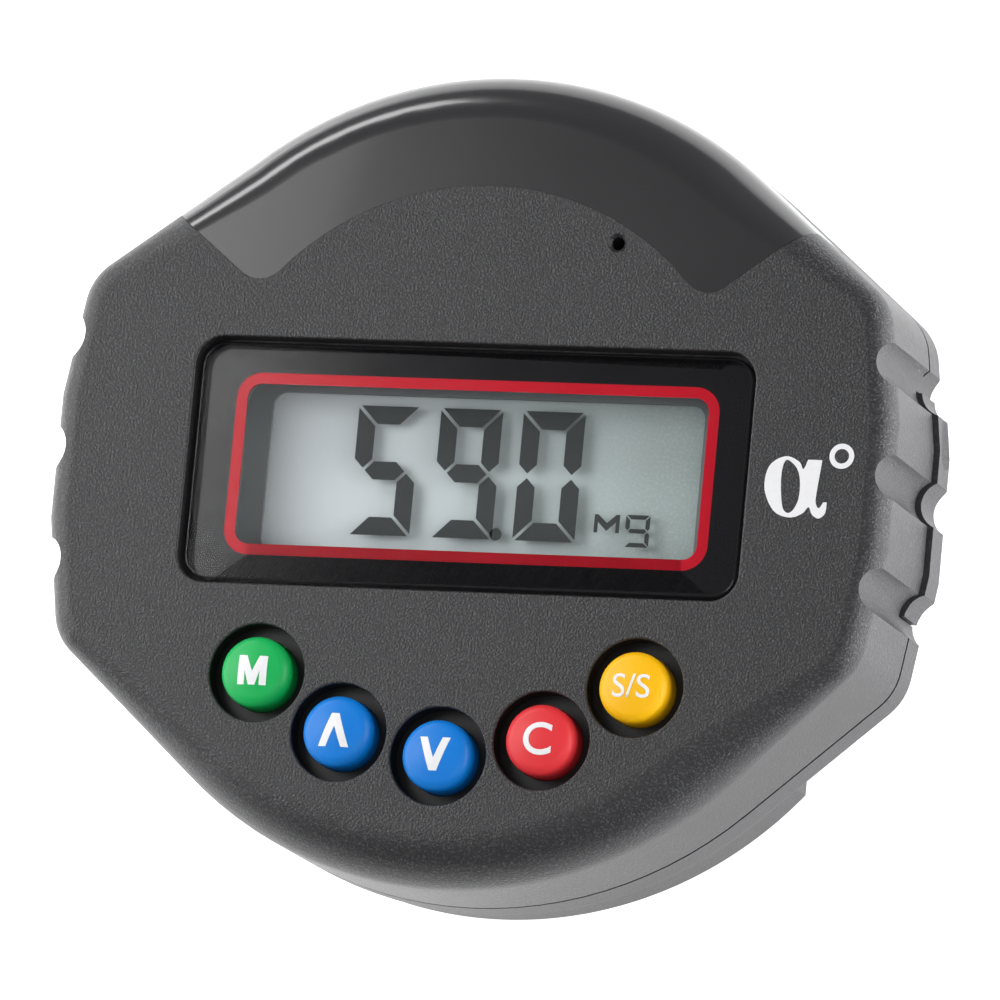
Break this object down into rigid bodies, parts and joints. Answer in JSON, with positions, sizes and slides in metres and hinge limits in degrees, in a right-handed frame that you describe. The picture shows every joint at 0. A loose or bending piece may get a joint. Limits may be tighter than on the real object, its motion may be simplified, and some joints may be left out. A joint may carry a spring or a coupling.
{
  "type": "torque angle gauge",
  "caption": "Round digital angle gauge with grooved side grips, a framed display, a row of coloured keys, a crescent signal lens, a coin cell drawer and a magnetic back",
  "frame": {"origin": "in the middle of the flat back, which the gauge lies on", "axes": "+X to the right and +Y up as the display is read, +Z out of the face"},
  "size_m": [0.0835, 0.0784, 0.0262],
  "materials": {
    "casing_front": "fine spark-textured charcoal moulding",
    "casing_rear": "satin charcoal moulding",
    "lens_smoked": "polished smoked clear moulding",
    "window_clear": "polished clear plate",
    "print_black": "black screen print on the back of the window",
    "print_red": "red screen print on the back of the window",
    "frame_dark": "plain dark moulding",
    "panel_glass": "reflective liquid crystal panel",
    "strip_rubber": "layered conductive rubber",
    "board_green": "solder-masked board",
    "key_green": "glossy green cap",
    "key_blue": "glossy blue cap",
    "key_red": "glossy coral red cap",
    "key_yellow": "glossy yellow cap",
    "plunger_black": "plain black",
    "switch_plastic": "plain light grey",
    "sounder_black": "plain black",
    "lamp_clear": "milky clear",
    "sensor_can": "tinned can",
    "chip_black": "moulded black",
    "cell_steel": "bright rolled steel",
    "contact_metal": "spring metal",
    "magnet_nickel": "bright nickel plate",
    "screw_black": "blackened",
    "screw_zinc": "zinc plated"
  },
  "bodies": {
    "casing": {"front_casing": "casing_front", "rear_casing": "casing_rear", "signal_lens": "lens_smoked", "display_window": "window_clear", "window_print": "print_black", "window_line": "print_red", "panel_frame": "frame_dark", "display_panel": "panel_glass", "contact_strips": "strip_rubber", "circuit_board": "board_green", "switch_bodies": "switch_plastic", "sounder": "sounder_black", "signal_lamps": "lamp_clear", "motion_sensor": "sensor_can", "controller_chip": "chip_black", "contact_upper": "contact_metal", "contact_lower": "contact_metal", "magnets": "magnet_nickel", "casing_screws": "screw_black", "board_screws": "screw_zinc"},
    "memory_key": {"key_memory": "key_green", "plunger_memory": "plunger_black"},
    "up_key": {"key_up": "key_blue", "plunger_up": "plunger_black"},
    "down_key": {"key_down": "key_blue", "plunger_down": "plunger_black"},
    "clear_key": {"key_clear": "key_red", "plunger_clear": "plunger_black"},
    "start_key": {"key_start": "key_yellow", "plunger_start": "plunger_black"},
    "drawer": {"battery_drawer": "casing_rear", "coin_cell": "cell_steel"}
  },
  "joints": [
    {"name": "memory_press", "type": "slide", "parent": "casing", "child": "memory_key", "axis": [0, 0, -1], "range_m": [0, 0.0008], "stiffness_N_per_m": 1000},
    {"name": "up_press", "type": "slide", "parent": "casing", "child": "up_key", "axis": [0, 0, -1], "range_m": [0, 0.0008], "stiffness_N_per_m": 1000},
    {"name": "down_press", "type": "slide", "parent": "casing", "child": "down_key", "axis": [0, 0, -1], "range_m": [0, 0.0008], "stiffness_N_per_m": 1000},
    {"name": "clear_press", "type": "slide", "parent": "casing", "child": "clear_key", "axis": [0, 0, -1], "range_m": [0, 0.0008], "stiffness_N_per_m": 1000},
    {"name": "start_press", "type": "slide", "parent": "casing", "child": "start_key", "axis": [0, 0, -1], "range_m": [0, 0.0008], "stiffness_N_per_m": 1000},
    {"name": "drawer_slide", "type": "slide", "parent": "casing", "child": "drawer", "axis": [1, 0, 0], "range_m": [0, 0.024]}
  ]
}
